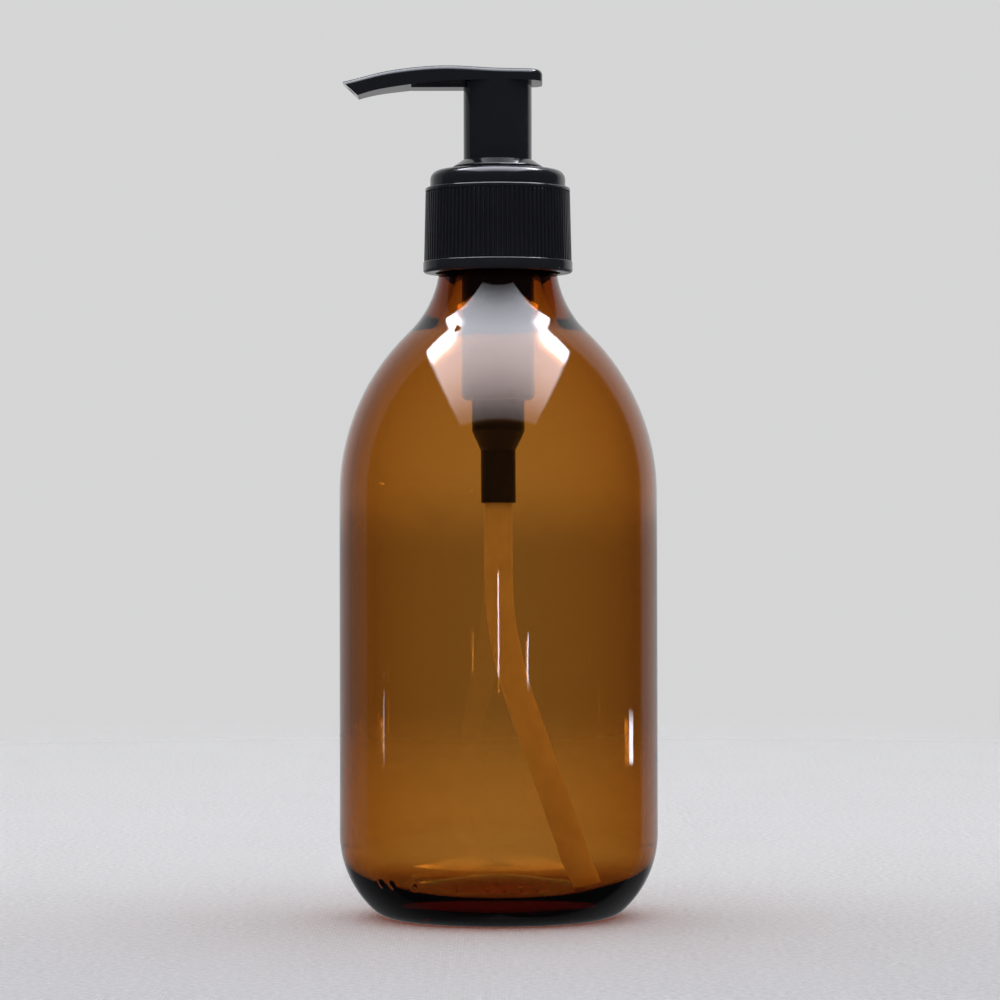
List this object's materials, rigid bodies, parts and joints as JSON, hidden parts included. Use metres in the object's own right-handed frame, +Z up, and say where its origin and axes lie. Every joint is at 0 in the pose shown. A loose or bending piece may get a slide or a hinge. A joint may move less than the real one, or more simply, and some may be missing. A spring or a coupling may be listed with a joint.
{
  "type": "soap pump dispenser",
  "caption": "Round-shouldered amber glass bottle with a ribbed screw-on lotion pump: the press head turns and is pushed down against a spring to draw liquid up a dip tube.",
  "frame": {"origin": "centre of the bottle's base, on the surface it stands on", "axes": "+Z up along the bottle's axis; the spout points to -X at rest; the dip tube's foot lies towards +X and -Y"},
  "size_m": [0.076, 0.076, 0.203],
  "materials": {
    "amber_glass": "gloss",
    "black_collar": "satin",
    "black_lock_ring": "gloss",
    "black_housing": "satin",
    "gasket_foam": "matte",
    "natural_tube": "satin",
    "steel_ball": "polished",
    "natural_retainer": "satin",
    "spring_wire": "polished",
    "seal_plastic": "satin",
    "plug_plastic": "satin",
    "stem_plastic": "satin",
    "steel_ball_small": "polished",
    "black_head": "gloss"
  },
  "bodies": {
    "bottle": {"glass_bottle": "amber_glass"},
    "pump_core": {"pump_housing": "black_housing", "lock_ring": "black_lock_ring", "neck_gasket": "gasket_foam", "dip_tube": "natural_tube", "ball_retainer": "natural_retainer"},
    "collar": {"screw_collar": "black_collar"},
    "spring_turn": {"return_spring": "spring_wire"},
    "plunger": {"actuator_head": "black_head", "pump_stem": "stem_plastic", "piston_plug": "plug_plastic", "piston_seal": "seal_plastic"},
    "inlet_valve": {"inlet_ball": "steel_ball"},
    "outlet_valve": {"outlet_ball": "steel_ball_small"}
  },
  "joints": [
    {"name": "pump_lift", "type": "slide", "parent": "bottle", "child": "pump_core", "axis": [0, 0, 1], "range_m": [0, 0.0075]},
    {"name": "collar_unscrew", "type": "hinge", "parent": "pump_core", "child": "collar", "pos_m": [0, 0, 0.166], "axis": [0, 0, 1], "range_deg": [0, 630]},
    {"name": "head_swivel", "type": "hinge", "parent": "pump_core", "child": "spring_turn", "pos_m": [0, 0, 0.166], "axis": [0, 0, 1], "continuous": true},
    {"name": "pump_press", "type": "slide", "parent": "spring_turn", "child": "plunger", "axis": [0, 0, -1], "range_m": [0, 0.015], "stiffness_N_per_m": 900, "springref_m": -0.006, "deforming": ["return_spring"]},
    {"name": "inlet_ball_lift", "type": "slide", "parent": "pump_core", "child": "inlet_valve", "axis": [0, 0, 1], "range_m": [0, 0.0015]},
    {"name": "outlet_ball_lift", "type": "slide", "parent": "plunger", "child": "outlet_valve", "axis": [0, 0, 1], "range_m": [0, 0.0012]}
  ],
  "couplings": [
    {"joint": "pump_lift", "follows": "collar_unscrew", "m_per_rad": 0.0006737}
  ]
}
